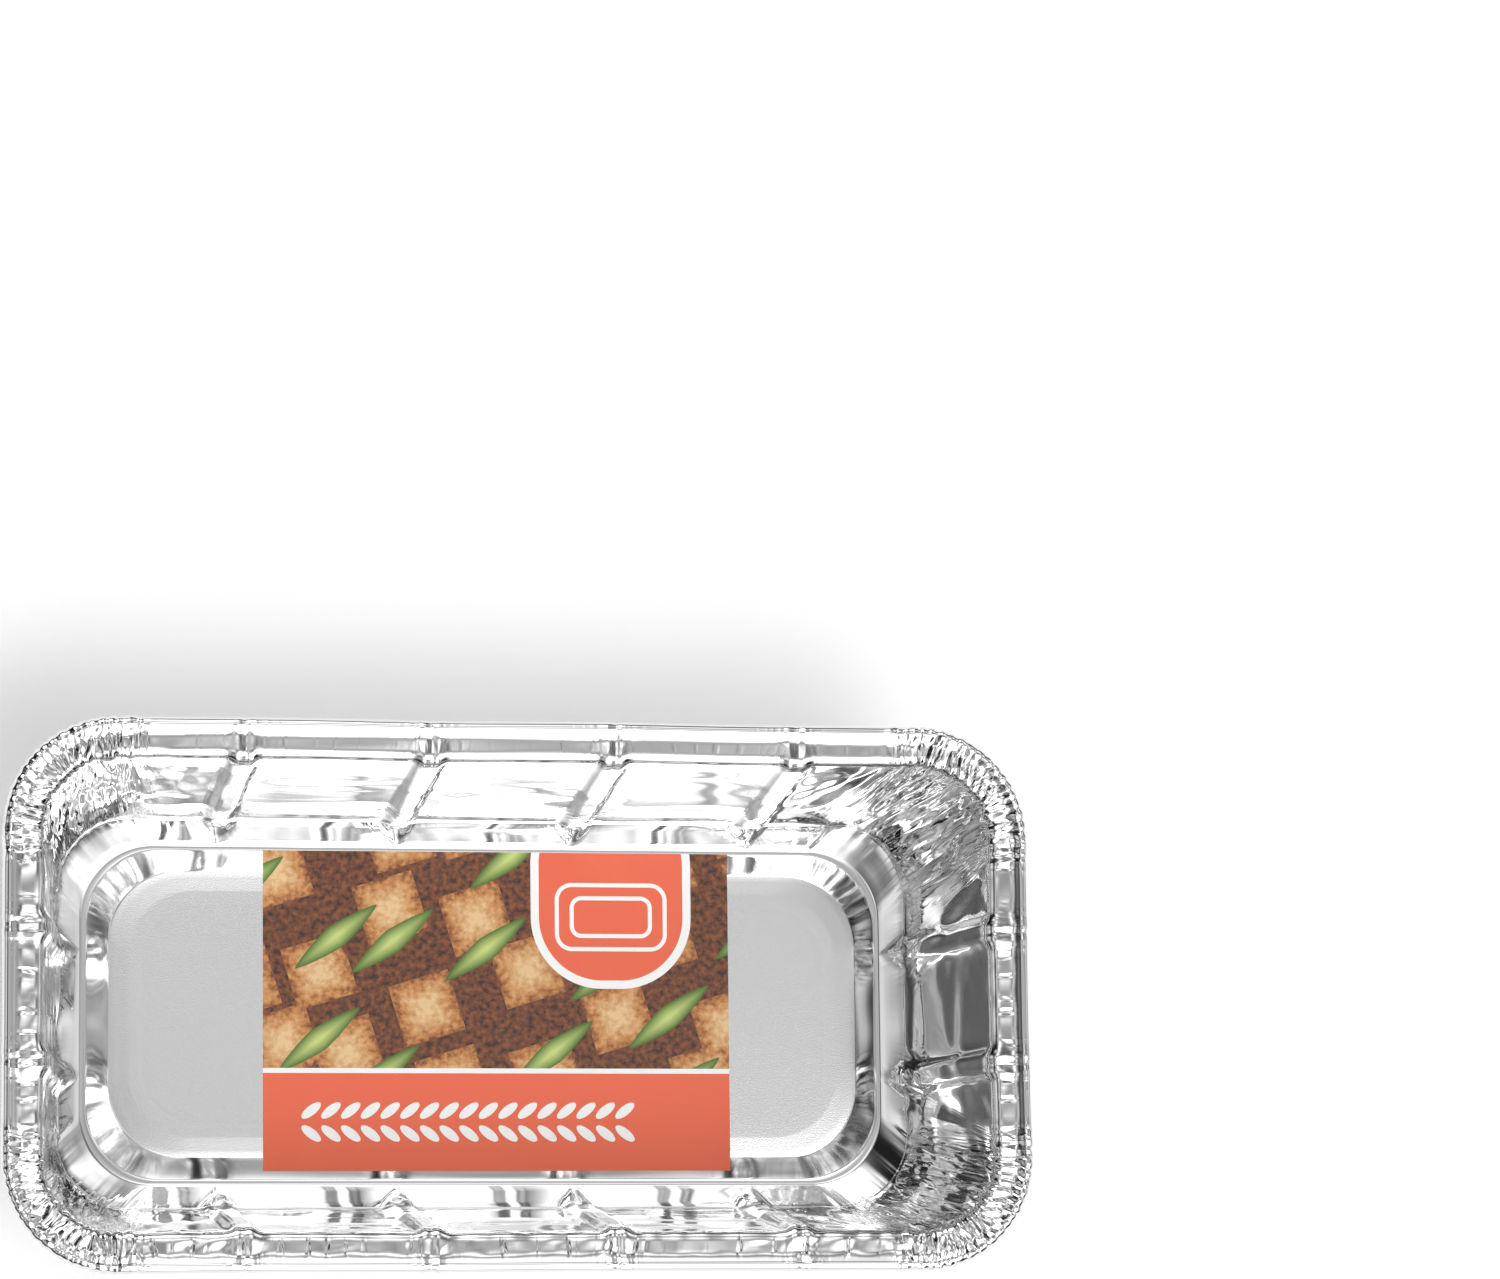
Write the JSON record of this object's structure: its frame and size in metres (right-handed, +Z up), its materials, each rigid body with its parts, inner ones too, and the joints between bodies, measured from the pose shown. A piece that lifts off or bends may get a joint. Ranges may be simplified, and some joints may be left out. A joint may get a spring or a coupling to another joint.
{
  "type": "foil loaf pan",
  "caption": "Rectangular aluminium foil loaf pan with a rolled rim, ribbed sloping walls, gathered corners, a stepped floor and a loose paper label inside.",
  "frame": {"origin": "middle of the bounding box's base: the pan stands on z = 0 on its ring", "axes": "+X along the pan's length, +Y along its width, +Z up out of the pan"},
  "size_m": [0.2642, 0.1402, 0.0672],
  "materials": {
    "foil": "bright rolled foil, satin on the raised floor panel",
    "label": "coated print"
  },
  "bodies": {
    "root": {"pan": "foil", "label": "label"}
  },
  "joints": []
}
